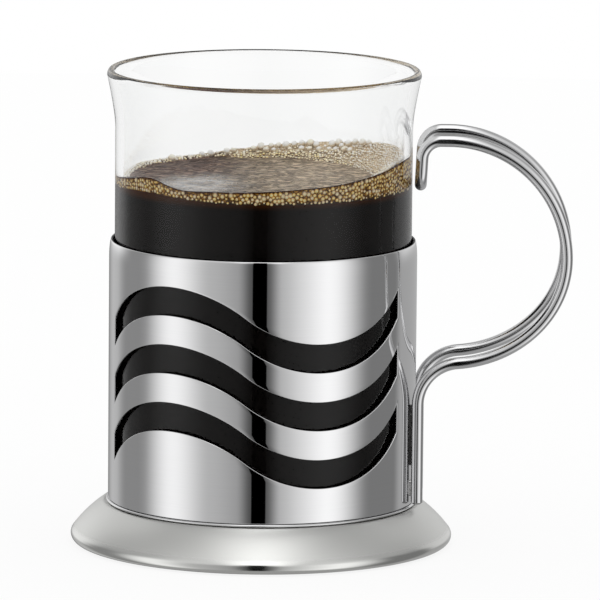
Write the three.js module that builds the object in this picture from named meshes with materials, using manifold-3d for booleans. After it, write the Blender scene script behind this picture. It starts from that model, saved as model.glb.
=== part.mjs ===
// A glass cup standing in a polished steel holder with a bent wire handle.
// Millimetres, +Z up. The origin is the centre of the foot's underside and the handle points along +X.

import * as THREE from "three";
import { mergeVertices } from "three/addons/utils/BufferGeometryUtils.js";
import Module from "manifold-3d";

// Driving dimensions of the glass
const glassRadius = 37.5; // outside of the straight body
const glassWall = 2.0;
const glassFloor = 4.0;
const heelRadius = 5.0; // outer round between body and floor
const standRing = 4.0; // flat ring that the glass stands on
const puntDepth = 1.0; // hollow inside that ring
const puntSlope = 2.5; // width of the hollow's sloping edge
const rimFlare = 2.1; // how far the rim stands out past the body
const flareHeight = 15.0;
const flareLead = 4.0; // height over which the flare stays almost upright
const rimAboveHandle = 14.9; // glass that shows above the top of the handle
const liftClearance = 0.35; // glass to the narrowest part of the sleeve

// Driving dimensions of the sleeve
const sheet = 0.6;
const sleeveHeight = 66.9;
const lipTurn = 0.45; // how far the top edge is turned in
const lipHeight = 2.2;
const lipBend = 0.73; // height of the sharper bend at its end
const beadOut = 0.5; // the rolled hem at the foot
const beadHeight = 0.9;

// Driving dimensions of the wave slots
const slotRows = 3;
const barHeight = 7.4; // solid bar between two slots
const slotMarginTop = 7.6; // from the highest crest to the top edge
const slotMarginFoot = 9.5; // from the lowest trough to the foot
const waveInnerSweep = THREE.MathUtils.degToRad(36.8); // arc from the middle of a slot to its crest
const waveOuterSweep = THREE.MathUtils.degToRad(48.7); // arc from the crest to the end of the slot
const slotToWire = 7.5; // solid sheet between a slot's end and the handle
const seamBand = 24.4; // solid sheet on the side away from the handle

// Driving dimensions of the base
const baseSheet = 0.8;
const seatZ = 10.6; // height of the flat that carries sleeve and glass
const baseFlare = 8.9; // how far the base reaches out past the hem of the sleeve
const flareBulge = 1.0;
const rollRadius = 1.8; // the rolled outer edge
const rollStart = THREE.MathUtils.degToRad(34); // where the flare runs into the roll
const rollEnd = THREE.MathUtils.degToRad(-170);
const seatLedge = 0.6; // flat of the seat that shows outside the hem
const spigotHeight = 2.4; // ring that centres the sleeve on the seat
const spigotWall = 0.6;
const spigotClearance = 0.15;

// Driving dimensions of the handle
const wire = 3.0;
const wireSpacing = 20.0; // between the centres of the two runs
const legGap = 0.3; // from the hem to the cut ends of the wire
const loopAboveFoot = 36.0; // from the cut ends to the lowest point of the loop
const fingerRoom = 36.2; // clear width between sleeve and wire
const loopDip = 1.5; // how far the widest point lies below the loop's mid height
const crownBend = 4.8; // bend at the top of the hook
const crownRun = 2.1; // straight run from that bend to the loop
const lowerJoin = THREE.MathUtils.degToRad(5); // where the lower bend meets the loop
const hookAboveSleeve = 13.7; // from the sleeve's edge to the underside of the hook
const hookStraight = 3.1; // straight run between the hook's two bends
const hookGap = 0.6; // from the glass to the hook
const hookLean = THREE.MathUtils.degToRad(3);
const hookBend = 4.0; // bend into the hook's cross run

// Driving dimensions of the welds
const weldFilm = 0.2; // weld metal between wire and sleeve
const fusionGap = 0.05; // drawn gap on each side of a weld
const weldReach = 1.5; // half width of a weld on the sleeve
const weldClimb = THREE.MathUtils.degToRad(50); // how far a weld climbs round the wire
const weldLength = 4.0;
const weldInset = 2.0; // from the ends of the straight leg to a weld

// Driving dimensions of the pad and the foot
const padThickness = 1.5;
const padClearance = 0.3;
const footProud = 0.3; // how far the foot stands below the rolled edge
const footThickness = 2.2;
const footChamfer = 0.8;
const footClearance = 0.3;
const footRingRadius = 25.0; // ring that carries the middle of the base
const footRingWall = 2.0;

// How finely curves are divided
const roundSegments = 60;
const arcSteps = 4;
const rollSteps = 7;
const loopSteps = 12;
const wireSteps = 130;
const wireSides = 5; // half the number of sides
const mergeDistance = 1e-5;

// Shared heights and radii
const sleeveInner = glassRadius + liftClearance + lipTurn;
const sleeveOuter = sleeveInner + sheet;
const hemRadius = sleeveOuter + beadOut;
const sleeveTop = seatZ + sleeveHeight;
const glassFoot = seatZ + padThickness;
const spigotOuter = sleeveInner - spigotClearance;
const spigotInner = spigotOuter - spigotWall;
const baseRadius = hemRadius + baseFlare;
const legRadius = sleeveOuter + 2 * fusionGap + weldFilm + wire / 2;
const legX = Math.sqrt(legRadius ** 2 - (wireSpacing / 2) ** 2);
const legFoot = seatZ + beadHeight + legGap;

// The hook, from the middle of its cross run up to the crown of the handle, as (x, z) points
const hookFoot = at(glassRadius + hookGap + wire / 2, sleeveTop + hookAboveSleeve + wire / 2);
const hookUp = at(Math.sin(hookLean), Math.cos(hookLean));
const hookOut = at(Math.cos(hookLean), -Math.sin(hookLean));
const hookCorner = hookFoot.clone().addScaledVector(hookUp, hookBend);
const hookTop = hookCorner.clone().addScaledVector(hookUp, hookStraight);
const crownMiddle = hookTop.clone().addScaledVector(hookOut, crownBend);
const crownZ = crownMiddle.y + crownBend;
const rimZ = crownZ + wire / 2 + rimAboveHandle;

const wasm = await Module();
wasm.setup();

function toSolid(geometry) {
  const bare = geometry.clone();
  bare.deleteAttribute("normal");
  bare.deleteAttribute("uv");
  const merged = mergeVertices(bare, mergeDistance);
  return new wasm.Manifold(
    new wasm.Mesh({
      numProp: 3,
      vertProperties: new Float32Array(merged.attributes.position.array),
      triVerts: new Uint32Array(merged.index.array),
    }),
  );
}

function toGeometry(solid) {
  const mesh = solid.getMesh();
  const geometry = new THREE.BufferGeometry();
  geometry.setAttribute("position", new THREE.BufferAttribute(new Float32Array(mesh.vertProperties), 3));
  geometry.setIndex(new THREE.BufferAttribute(new Uint32Array(mesh.triVerts), 1));
  geometry.computeVertexNormals();
  return geometry;
}

// Turns a profile of (radius, height) points about +Z. Points run up the outside and down the inside.
function turned(points) {
  const geometry = new THREE.LatheGeometry(points, roundSegments);
  geometry.rotateX(Math.PI / 2);
  return toGeometry(toSolid(geometry));
}

function at(radius, height) {
  return new THREE.Vector2(radius, height);
}

// Points of an arc about a centre, from one angle to another
function arc(x, y, radius, from, to, steps = arcSteps) {
  return Array.from({ length: steps + 1 }, (_, i) => {
    const angle = from + ((to - from) * i) / steps;
    return at(x + radius * Math.cos(angle), y + radius * Math.sin(angle));
  });
}

function bend(start, control, end, steps = arcSteps) {
  return new THREE.QuadraticBezierCurve(start, control, end).getPoints(steps);
}

function steel(color, roughness) {
  return new THREE.MeshStandardMaterial({ color, roughness, metalness: 1 });
}

function part(name, geometry, material) {
  const mesh = new THREE.Mesh(geometry, material);
  mesh.name = name;
  return mesh;
}

// The glass: straight body, round heel, hollow underside and a rim that flares out to a round lip
function glassBeaker() {
  const inner = glassRadius - glassWall;
  const lip = glassWall / 2;
  const flareZ = rimZ - flareHeight;
  const lipMiddle = at(glassRadius + rimFlare - lip, rimZ - lip);
  const innerHeel = Math.max(heelRadius - glassWall, lip);
  const floorZ = glassFoot + glassFloor;
  const leadZ = flareZ + flareLead;
  const lipOutside = at(lipMiddle.x + lip, lipMiddle.y);
  const lipInside = at(lipMiddle.x - lip, lipMiddle.y);
  const outerFlare = bend(at(glassRadius, flareZ), at(glassRadius, leadZ), lipOutside);
  const innerFlare = bend(lipInside, at(inner, leadZ), at(inner, flareZ));
  const puntEdge = glassRadius - heelRadius - standRing;
  const profile = [
    at(0, glassFoot + puntDepth),
    at(puntEdge - puntSlope, glassFoot + puntDepth),
    at(puntEdge, glassFoot),
    ...arc(glassRadius - heelRadius, glassFoot + heelRadius, heelRadius, -Math.PI / 2, 0),
    ...outerFlare,
    ...arc(lipMiddle.x, lipMiddle.y, lip, 0, Math.PI).slice(1, -1),
    ...innerFlare,
    ...arc(inner - innerHeel, floorZ + innerHeel, innerHeel, 0, -Math.PI / 2),
    at(0, floorZ),
  ];
  const clear = new THREE.MeshStandardMaterial({ color: 0xf4f7f6, roughness: 0.05, metalness: 0 });
  clear.transparent = true;
  clear.opacity = 0.3;
  return part("glass_beaker", turned(profile), clear);
}

// One slot cutter: a curved bar that follows the wave round the sleeve
function slotCutter(middleAngle, halfLength, middleZ, height, side) {
  const radius = halfLength / (Math.sin(waveInnerSweep) + Math.sin(waveOuterSweep));
  const crest = radius * Math.sin(waveInnerSweep);
  const rise = radius * (1 - Math.cos(waveInnerSweep));
  const wave = (s) => {
    const fromCrest = Math.abs(s) - crest;
    const drop = radius - Math.sqrt(radius ** 2 - fromCrest ** 2);
    return -Math.sign(s) * (rise - drop);
  };
  const facet = (2 * Math.PI) / roundSegments;
  const halfAngle = halfLength / sleeveOuter;
  const first = middleAngle - halfAngle;
  const last = middleAngle + halfAngle;
  const angles = [first];
  for (let k = Math.floor(first / facet) + 1; k * facet < last; k += 1) {
    angles.push(k * facet);
  }
  angles.push(last);
  const positions = [];
  for (const angle of angles) {
    const z = middleZ + wave(side * (angle - middleAngle) * sleeveOuter);
    const corners = [
      [sleeveInner - sheet, z - height / 2],
      [sleeveOuter + sheet, z - height / 2],
      [sleeveOuter + sheet, z + height / 2],
      [sleeveInner - sheet, z + height / 2],
    ];
    for (const [r, cornerZ] of corners) {
      positions.push(r * Math.cos(angle), r * Math.sin(angle), cornerZ);
    }
  }
  const end = 4 * (angles.length - 1);
  const index = [0, 1, 2, 0, 2, 3, end, end + 2, end + 1, end, end + 3, end + 2];
  for (let i = 0; i < angles.length - 1; i += 1) {
    for (let j = 0; j < 4; j += 1) {
      const a = 4 * i + j;
      const b = 4 * i + ((j + 1) % 4);
      index.push(a, a + 4, b, b, a + 4, b + 4);
    }
  }
  const geometry = new THREE.BufferGeometry();
  geometry.setAttribute("position", new THREE.Float32BufferAttribute(positions, 3));
  geometry.setIndex(index);
  return geometry;
}

// The sleeve: rolled sheet with a hem at the foot, a turned-in top edge and two panels of wave slots
function piercedSleeve() {
  const beadMiddle = seatZ + beadHeight / 2;
  const lipStart = sleeveTop - lipHeight;
  const bead = arc(0, 0, 1, -Math.PI / 2, Math.PI / 2).map((p) => {
    return at(sleeveOuter + beadOut * p.x, beadMiddle + (beadHeight / 2) * p.y);
  });
  const lipControl = sleeveTop - lipBend;
  const lip = (radius) => bend(at(radius, lipStart), at(radius, lipControl), at(radius - lipTurn, sleeveTop));
  const profile = [
    at(sleeveInner, seatZ),
    ...bead,
    ...lip(sleeveOuter),
    ...lip(sleeveInner).reverse(),
    at(sleeveInner, seatZ),
  ];
  let body = toSolid(turned(profile));

  const handleBand = wireSpacing / 2 + wire / 2 + slotToWire;
  const panel = Math.PI * sleeveOuter - handleBand - seamBand / 2;
  const halfLength = panel / 2;
  const waveRadius = halfLength / (Math.sin(waveInnerSweep) + Math.sin(waveOuterSweep));
  const waveRise = waveRadius * (1 - Math.cos(waveInnerSweep));
  const lowest = seatZ + slotMarginFoot + waveRise;
  const highest = sleeveTop - slotMarginTop - waveRise;
  const slotHeight = (highest - lowest - (slotRows - 1) * barHeight) / slotRows;
  for (const side of [-1, 1]) {
    const middleAngle = side * ((handleBand + halfLength) / sleeveOuter);
    for (let row = 0; row < slotRows; row += 1) {
      const middleZ = lowest + slotHeight / 2 + row * (slotHeight + barHeight);
      body = body.subtract(toSolid(slotCutter(middleAngle, halfLength, middleZ, slotHeight, -side)));
    }
  }
  return part("pierced_sleeve", toGeometry(body), steel(0xd4d5d6, 0.08));
}

// The base: a pressed dish with a flat seat, a centring ring, a flared skirt and a rolled edge
function baseDish() {
  const rollX = baseRadius - rollRadius;
  const rollZ = footProud + rollRadius;
  const skirtTop = at(hemRadius + seatLedge, seatZ);
  const skirtFoot = at(rollX + rollRadius * Math.cos(rollStart), rollZ + rollRadius * Math.sin(rollStart));
  const along = skirtFoot.clone().sub(skirtTop);
  const outward = at(-along.y, along.x).normalize();
  const control = skirtTop.clone().add(skirtFoot).multiplyScalar(0.5).addScaledVector(outward, flareBulge);
  const skirt = bend(skirtTop, control, skirtFoot);
  const inside = skirt.map((p) => p.clone().addScaledVector(outward, -baseSheet));
  const roll = arc(rollX, rollZ, rollRadius, rollStart, rollEnd, rollSteps);
  const profile = [
    at(0, seatZ - baseSheet),
    at(inside[0].x, seatZ - baseSheet),
    ...inside.slice(1),
    ...roll.slice(1).reverse(),
    ...skirt.slice().reverse(),
    at(spigotOuter, seatZ),
    at(spigotOuter, seatZ + spigotHeight),
    at(spigotInner, seatZ + spigotHeight),
    at(spigotInner, seatZ),
    at(0, seatZ),
  ];
  return part("base_dish", turned(profile), steel(0xa9aaa6, 0.35));
}

// A soft pad on the seat, which the glass stands on
function seatPad() {
  const radius = spigotInner - padClearance;
  const profile = [at(0, seatZ), at(radius, seatZ), at(radius, glassFoot), at(0, glassFoot)];
  const silicone = new THREE.MeshStandardMaterial({ color: 0xd9dad6, roughness: 0.7 });
  return part("seat_pad", turned(profile), silicone);
}

// A moulded foot inside the rolled edge, with a ring that carries the middle of the base
function footInsert() {
  const radius = baseRadius - 2 * rollRadius - footClearance;
  const ringTop = seatZ - baseSheet;
  const profile = [
    at(0, 0),
    at(radius - footChamfer, 0),
    at(radius, footChamfer),
    at(radius, footThickness),
    at(footRingRadius, footThickness),
    at(footRingRadius, ringTop),
    at(footRingRadius - footRingWall, ringTop),
    at(footRingRadius - footRingWall, footThickness),
    at(0, footThickness),
  ];
  const plastic = new THREE.MeshStandardMaterial({ color: 0x1b1b1c, roughness: 0.6 });
  return part("foot_insert", turned(profile), plastic);
}

// Sizes of the loop and of the bend that leads into it, in the XZ plane
function loopSizes() {
  const low = legFoot + loopAboveFoot;
  const x = crownMiddle.x + crownRun;
  const z = (low + crownZ) / 2 - loopDip;
  const reach = sleeveOuter + fingerRoom + wire / 2 - x;
  const upper = crownZ - z;
  const lower = z - low;
  const slope = Math.atan((lower / reach) * Math.tan(lowerJoin));
  const joinX = x + reach * Math.sin(lowerJoin);
  const joinZ = z - lower * Math.cos(lowerJoin);
  const bendRadius = (joinX - legX) / (1 - Math.sin(slope));
  const bendZ = joinZ - bendRadius * Math.cos(slope);
  return { x, z, reach, upper, lower, slope, bendRadius, bendZ };
}

// The centre line of one run of the handle in the XZ plane, from the cut end up to the hook
function handleSide() {
  const loop = loopSizes();
  const side = new THREE.Path();
  side.moveTo(legX, legFoot);
  side.lineTo(legX, loop.bendZ);
  side.absarc(legX + loop.bendRadius, loop.bendZ, loop.bendRadius, Math.PI, Math.PI / 2 + loop.slope, true);
  side.absellipse(loop.x, loop.z, loop.reach, loop.lower, lowerJoin - Math.PI / 2, 0, false);
  side.absellipse(loop.x, loop.z, loop.reach, loop.upper, 0, Math.PI / 2, false);
  side.lineTo(crownMiddle.x, crownZ);
  side.absarc(crownMiddle.x, crownMiddle.y, crownBend, Math.PI / 2, Math.PI - hookLean, false);
  side.lineTo(hookCorner.x, hookCorner.y);
  return side.getPoints(loopSteps);
}

// The handle: one wire, up one side, across the hook that rests by the glass and down the other side
function handleWire() {
  const half = wireSpacing / 2;
  const inSpace = (p, y) => new THREE.Vector3(p.x, y, p.y);
  const turn = arc(0, 0, hookBend, 0, Math.PI / 2).map((p) => {
    return inSpace(hookCorner.clone().addScaledVector(hookUp, -p.y), hookBend - half - p.x);
  });
  const front = [...handleSide().map((p) => inSpace(p, -half)), ...turn.slice(1)];
  const rear = front.map((p) => new THREE.Vector3(p.x, -p.y, p.z)).reverse();
  const route = [...front, ...rear];
  const path = new THREE.CurvePath();
  for (let i = 1; i < route.length; i += 1) {
    path.add(new THREE.LineCurve3(route[i - 1], route[i]));
  }
  const section = new THREE.Shape();
  section.absarc(0, 0, wire / 2, 0, 2 * Math.PI);
  const geometry = new THREE.ExtrudeGeometry(section, {
    steps: wireSteps,
    curveSegments: wireSides,
    extrudePath: path,
  });
  return part("handle_wire", toGeometry(toSolid(geometry)), steel(0xd0d1d2, 0.07));
}

// A weld: a short cradle of metal between a leg of the handle and the sleeve
function weld(name, side, middleZ) {
  const sleeveFace = sleeveOuter + fusionGap;
  const wireFace = wire / 2 + fusionGap;
  const spread = Math.asin(weldReach / sleeveFace);
  const onSleeve = arc(0, 0, sleeveFace, -spread, spread);
  const onWire = arc(legRadius, 0, wireFace, Math.PI - weldClimb, Math.PI + weldClimb);
  const section = new THREE.Shape([...onSleeve, ...onWire]);
  const geometry = new THREE.ExtrudeGeometry(section, { depth: weldLength, bevelEnabled: false });
  geometry.translate(0, 0, middleZ - weldLength / 2);
  geometry.rotateZ(side * Math.asin(wireSpacing / 2 / legRadius));
  return part(name, toGeometry(toSolid(geometry)), steel(0x9b9c9c, 0.4));
}

const cup = new THREE.Group();
const holder = new THREE.Group();
holder.add(piercedSleeve(), baseDish(), seatPad(), footInsert(), handleWire());
const weldLow = legFoot + weldInset + weldLength / 2;
const weldHigh = loopSizes().bendZ - weldInset - weldLength / 2;
for (const [label, side] of [["front", -1], ["rear", 1]]) {
  holder.add(weld(`weld_${label}_lower`, side, weldLow));
  holder.add(weld(`weld_${label}_upper`, side, weldHigh));
}
cup.add(holder, glassBeaker());

export default cup;
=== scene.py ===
# %% [markdown]
# # A glass cup in a polished steel holder
#
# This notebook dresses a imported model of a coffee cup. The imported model, called the frame, already holds
# every solid at its real size and place. Each solid gets a smooth double here, with the finish of the real
# piece, the glass gets a drink, and a white tent lights it all. Nothing of the frame is ever moved, so a
# double only has to be drawn where its solid already is.

# %% Load the frame
import math

import bpy
import numpy as np
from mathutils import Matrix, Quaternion, Vector, noise


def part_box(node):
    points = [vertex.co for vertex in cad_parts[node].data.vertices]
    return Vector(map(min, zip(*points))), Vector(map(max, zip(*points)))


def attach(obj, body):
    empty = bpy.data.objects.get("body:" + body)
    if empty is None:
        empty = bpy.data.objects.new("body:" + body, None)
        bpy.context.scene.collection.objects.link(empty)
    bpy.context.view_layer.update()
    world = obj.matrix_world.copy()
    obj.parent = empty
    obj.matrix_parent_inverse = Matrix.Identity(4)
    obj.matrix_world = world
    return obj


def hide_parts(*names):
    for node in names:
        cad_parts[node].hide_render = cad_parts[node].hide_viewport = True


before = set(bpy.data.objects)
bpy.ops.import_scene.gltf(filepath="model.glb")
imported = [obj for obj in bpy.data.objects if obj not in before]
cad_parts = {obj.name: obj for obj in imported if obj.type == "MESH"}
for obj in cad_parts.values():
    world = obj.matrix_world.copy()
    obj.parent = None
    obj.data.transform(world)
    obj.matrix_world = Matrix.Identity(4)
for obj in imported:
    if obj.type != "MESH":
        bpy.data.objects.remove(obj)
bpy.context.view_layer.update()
print("solids in the frame:", ", ".join(sorted(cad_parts)))

# %% [markdown]
# ## Sizes come from the frame
#
# The shapes below are drawn in millimetres, as a maker would, and turned into Blender's metres at the last
# moment. Heights and radii that the frame shows are read from it. A size that can't be read from a box,
# such as the thickness of a sheet, gets a name in the cell that first needs it.

# %% Read the main sizes
MM = 0.001


def box_mm(node):
    low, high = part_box(node)
    return low / MM, high / MM


glass_low, glass_high = box_mm("glass_beaker")
sleeve_low, sleeve_high = box_mm("pierced_sleeve")
base_low, base_high = box_mm("base_dish")
pad_low, pad_high = box_mm("seat_pad")
foot_low, foot_high = box_mm("foot_insert")
wire_high = box_mm("handle_wire")[1]
print(f"rim {glass_high.z:.1f} mm up, base {2 * base_high.x:.1f} mm across")
print(f"handle out to {wire_high.x:.1f} mm")

# %% [markdown]
# ## The camera
#
# A product photograph like this is taken from far away with a long lens, so that upright lines stay
# parallel. The lens, distance and height were worked out from the ellipses of the rim, the sleeve and the
# base. The handle points one degree towards the viewer, and the picture leans by half a degree, which is a
# roll of the camera.

# %% Place the camera
picture_pixels = 600
focal_pixels = 7930.9
camera_aim = Vector((9.4, 0.2, 61.9)) * MM
camera_distance = 2004.9 * MM
camera_turn = math.radians(1.0)
camera_rise = math.radians(9.2)
camera_roll = math.radians(0.5)

towards_camera = Vector((
    math.sin(camera_turn) * math.cos(camera_rise),
    -math.cos(camera_turn) * math.cos(camera_rise),
    math.sin(camera_rise),
))
camera_data = bpy.data.cameras.new("photo_camera")
camera_data.lens = camera_data.sensor_width * focal_pixels / picture_pixels
camera_data.clip_end = 10.0
camera = bpy.data.objects.new("photo_camera", camera_data)
bpy.context.scene.collection.objects.link(camera)
camera.location = camera_aim + towards_camera * camera_distance
camera.rotation_mode = "QUATERNION"
camera.rotation_quaternion = (-towards_camera).to_track_quat("-Z", "Y") @ Quaternion((0, 0, 1), camera_roll)
bpy.context.scene.camera = camera
bpy.context.scene.view_settings.view_transform = "Standard"
print(f"lens {camera_data.lens:.0f} mm at {camera_distance:.2f} m")

# %% [markdown]
# ## Small tools for node trees
#
# Finishes, the light tent and the shapes that repeat are all built from nodes. Adding a node, setting its
# values and plugging in its links is the same work every time, so short helpers do it: one for any node,
# one for a step of arithmetic, one for a soft ramp between two values and one that crosses from one value
# to another.

# %% Node helpers


def plug(tree, socket, value):
    if isinstance(value, bpy.types.NodeSocket):
        tree.links.new(value, socket)
    else:
        socket.default_value = value


def add(tree, kind, inputs=None, **settings):
    node = tree.nodes.new(kind)
    for name, value in settings.items():
        setattr(node, name, value)
    for name, value in (inputs or {}).items():
        plug(tree, node.inputs[name], value)
    return node


def calc(tree, operation, *values):
    node = add(tree, "ShaderNodeMath", operation=operation)
    for socket, value in zip(node.inputs, values):
        plug(tree, socket, value)
    return node.outputs[0]


def ramp(tree, value, start, end, low=0.0, high=1.0):
    limits = {"Value": value, "From Min": start, "From Max": end, "To Min": low, "To Max": high}
    return add(tree, "ShaderNodeMapRange", limits, interpolation_type="SMOOTHSTEP").outputs[0]


def cross(tree, share, first, second):
    return add(tree, "ShaderNodeMix", {0: share, 2: first, 3: second}).outputs[0]


# %% [markdown]
# ## The light tent
#
# Chrome has no colour of its own: what we see on it is the room. A photographer puts such a cup into a
# white tent, with two soft boxes at the sides and a slit at the front that the lens looks through. The slit
# is what draws the black stripe down the middle of the sleeve, and the cloth on both sides of it hangs in
# half shade. In Blender, soft boxes can be lamps or glowing cards. Here they are written into the world as
# patches of a direction, because then they are smooth, they stand in no other camera's way, and mirror
# finishes get no noise.
#
# Each card is a place round the cup (0 degrees is the camera's side, 90 is the handle's side), a half
# width, a soft edge and a brightness. The roof above the walls has a skylight in the middle, is a little
# brighter towards the front and dimmer at the back. Two lights at the rear brighten the far sides of round
# pieces. Far down, the tent ends in a grey ground.

# %% Measure out the tent
tent_level = 0.26
tent_cards = {
    "left soft box": (-71.5, 0, 34, 0.79),
    "left front wall": (-46.5, 0, 59, 0.41),
    "right soft box": (55.5, 1, 36, 0.57),
    "right front wall": (39.5, 9, 39, 0.59),
    "right rear wall": (150, 20, 12, 0.22),
    "rear wall": (-147, 0, 26, 0.36),
    "left side wall": (-120, 16, 10, 0.08),
}
slit_place, slit_half, slit_edge = -0.9, 4.9, 2.0
slit_low, slit_high, slit_fade = -45, 36, 10
shoulder_edge, shoulder_depth = 12, 0.7
rear_lights = {-150: 0.5, 150: 0.35}
rear_half, rear_edge = 12, 25
rear_low, rear_high, rear_fade = 2, 45, 12
roof_level = 0.55
roof_start, roof_full = 12, 42
skylight_edge, skylight_gain = 24, 1.05
front_gain, back_loss = 0.35, 0.6
ground_level = 0.46
ground_start, ground_full = -40, -62

# How far front or back the parts of the roof begin and are full: -1 is right in front, 1 right behind
skylight_start, skylight_full = 0.5, 0.3
front_start, front_full = 0.1, -0.4
back_start, back_full = 0.3, 0.75
print(len(tent_cards), "cards on the walls and", len(rear_lights), "lights at the rear")

# %% Start the tent
world = bpy.data.worlds.new("light_tent")
bpy.context.scene.world = world
world.use_nodes = True
world.cycles.sampling_method = "NONE"
tent = world.node_tree
tent.nodes.clear()
looking = add(tent, "ShaderNodeTexCoord").outputs["Generated"]
direction = add(tent, "ShaderNodeSeparateXYZ", {"Vector": looking}).outputs
backwards = calc(tent, "MULTIPLY", direction["Y"], -1.0)
around = calc(tent, "DEGREES", calc(tent, "ARCTAN2", direction["X"], backwards))
height = calc(tent, "DEGREES", calc(tent, "ARCSINE", direction["Z"]))
sideways = calc(tent, "DEGREES", calc(tent, "ARCSINE", calc(tent, "ABSOLUTE", direction["X"])))


def patch(place, half, edge):
    away = calc(tent, "ABSOLUTE", calc(tent, "WRAP", calc(tent, "SUBTRACT", around, place), 180.0, -180.0))
    return ramp(tent, away, half + edge, half)


def band(low, high, fade):
    return calc(tent, "MULTIPLY", ramp(tent, height, low - fade, low), ramp(tent, height, high + fade, high))


# %% Hang the walls, the roof and the slit
walls = tent_level
for place, half, edge, gain in tent_cards.values():
    walls = calc(tent, "MULTIPLY_ADD", patch(place, half, edge), gain, walls)

skylight = ramp(tent, sideways, skylight_edge, 0.0)
skylight = calc(tent, "MULTIPLY", skylight, ramp(tent, direction["Y"], skylight_start, skylight_full))
roof = calc(tent, "MULTIPLY_ADD", skylight, skylight_gain, roof_level)
roof = calc(tent, "MULTIPLY_ADD", ramp(tent, direction["Y"], front_start, front_full), front_gain, roof)
dimmed = calc(tent, "MULTIPLY_ADD", ramp(tent, direction["Y"], back_start, back_full), -back_loss, 1.0)
roof = calc(tent, "MULTIPLY", roof, dimmed)

mirrored = cross(tent, ramp(tent, height, roof_start, roof_full), walls, roof)
rear_band = band(rear_low, rear_high, rear_fade)
for place, gain in rear_lights.items():
    rear_light = calc(tent, "MULTIPLY", patch(place, rear_half, rear_edge), rear_band)
    mirrored = calc(tent, "MULTIPLY_ADD", rear_light, gain, mirrored)
mirrored = cross(tent, ramp(tent, height, ground_start, ground_full), mirrored, ground_level)

shade_beside = calc(tent, "MULTIPLY", patch(slit_place, slit_half, shoulder_edge), shoulder_depth)
slit = calc(tent, "MAXIMUM", patch(slit_place, slit_half, slit_edge), shade_beside)
slit = calc(tent, "MULTIPLY", slit, band(slit_low, slit_high, slit_fade))
mirrored = calc(tent, "MULTIPLY", mirrored, calc(tent, "SUBTRACT", 1.0, slit))
print("tent of", len(tent.nodes), "nodes")

# %% [markdown]
# Light Path tells the kinds of ray apart: the camera, and what shines through the glass, see plain white,
# mirrors see the tent, and everything dull is lit evenly. Light that is caught between the steel and the
# glass is thrown to and fro many times before it gets out, so Blender's limits on bounces are raised.

# %% Let in the light
trapped_bounces = 16
bpy.context.scene.cycles.glossy_bounces = trapped_bounces
bpy.context.scene.cycles.transmission_bounces = trapped_bounces
bpy.context.scene.cycles.max_bounces = 2 * trapped_bounces
ray = add(tent, "ShaderNodeLightPath").outputs
level = cross(tent, ray["Is Glossy Ray"], 1.0, mirrored)
level = cross(tent, ray["Is Transmission Ray"], level, 1.0)
background = add(tent, "ShaderNodeBackground", {"Color": (1, 1, 1, 1), "Strength": level})
tent.links.new(background.outputs[0], add(tent, "ShaderNodeOutputWorld").inputs["Surface"])
print("light is followed through", 2 * trapped_bounces, "bounces")

# %% [markdown]
# ## The table
#
# The cup stands on a plain white sheet. To the camera it is a mix of a white glow and a dull white, so that
# it fades into the white behind it and still shows where the cup shades it. Mirror rays pass it by, because
# a steel sleeve tilts them down to the table, and they have to reach the tent's walls.

# %% Lay the table
table_radius = 0.9
table_sides = 96
table_drop = 0.02
shade_share = 0.15

table_paint = bpy.data.materials.new("white_table")
table_paint.use_nodes = True
tree = table_paint.node_tree
tree.nodes.clear()
glow = add(tree, "ShaderNodeEmission", {"Color": (1, 1, 1, 1)})
dull = add(tree, "ShaderNodeBsdfDiffuse", {"Color": (0.95, 0.95, 0.95, 1)})
ray = add(tree, "ShaderNodeLightPath").outputs
seen = calc(tree, "MAXIMUM", ray["Is Camera Ray"], ray["Is Transmission Ray"])
share = calc(tree, "MULTIPLY", seen, 1.0 - shade_share)
sheet_of_white = add(tree, "ShaderNodeMixShader", {0: share, 1: dull.outputs[0], 2: glow.outputs[0]})
tree.links.new(sheet_of_white.outputs[0], add(tree, "ShaderNodeOutputMaterial").inputs["Surface"])

corners = np.linspace(0, 2 * math.pi, table_sides, endpoint=False)
table_mesh = bpy.data.meshes.new("table")
table_edge = [(table_radius * math.cos(a), table_radius * math.sin(a), -table_drop * MM) for a in corners]
table_mesh.from_pydata(table_edge, [], [list(range(table_sides))])
table_mesh.materials.append(table_paint)
table = bpy.data.objects.new("table", table_mesh)
bpy.context.scene.collection.objects.link(table)
table.visible_glossy = False
print(f"table {2 * table_radius:.1f} m across")

# %% [markdown]
# ## Finishes: what they have in common
#
# Every finish is a Principled shader with some pattern in it, because no real surface is one flat colour.
# The patterns read Object coordinates, which are the piece's own place in the frame, so they look the same
# from every side. `grain` gives a noise, stretched where a finish has a direction, `tones` mixes two
# colours by it, `blend` two finished mixes, and `relief` turns it into fine dents. `wear` plugs what they
# made into the shader.

# %% Finish helpers


def wear(tree, shader, **sockets):
    for socket, value in sockets.items():
        plug(tree, shader.inputs[socket.replace("_", " ")], value)


def new_finish(name, **sockets):
    finish = bpy.data.materials.new(name)
    finish.use_nodes = True
    shader = finish.node_tree.nodes["Principled BSDF"]
    wear(finish.node_tree, shader, **sockets)
    return finish, finish.node_tree, shader


def place_on(tree):
    return add(tree, "ShaderNodeTexCoord").outputs["Object"]


def height_on(tree):
    return add(tree, "ShaderNodeSeparateXYZ", {"Vector": place_on(tree)}).outputs["Z"]


def grain(tree, scale, stretch=(1, 1, 1), detail=2.0, twist=0.0):
    stretched = add(tree, "ShaderNodeMapping", {"Vector": place_on(tree), "Scale": stretch}).outputs[0]
    noise_inputs = {"Vector": stretched, "Scale": scale, "Detail": detail, "Distortion": twist}
    return add(tree, "ShaderNodeTexNoise", noise_inputs).outputs[0]


def blend(tree, share, first, second):
    return add(tree, "ShaderNodeMix", {0: share, 6: first, 7: second}, data_type="RGBA").outputs[2]


def tones(tree, share, first, second):
    return blend(tree, share, (*first, 1), (*second, 1))


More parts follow.
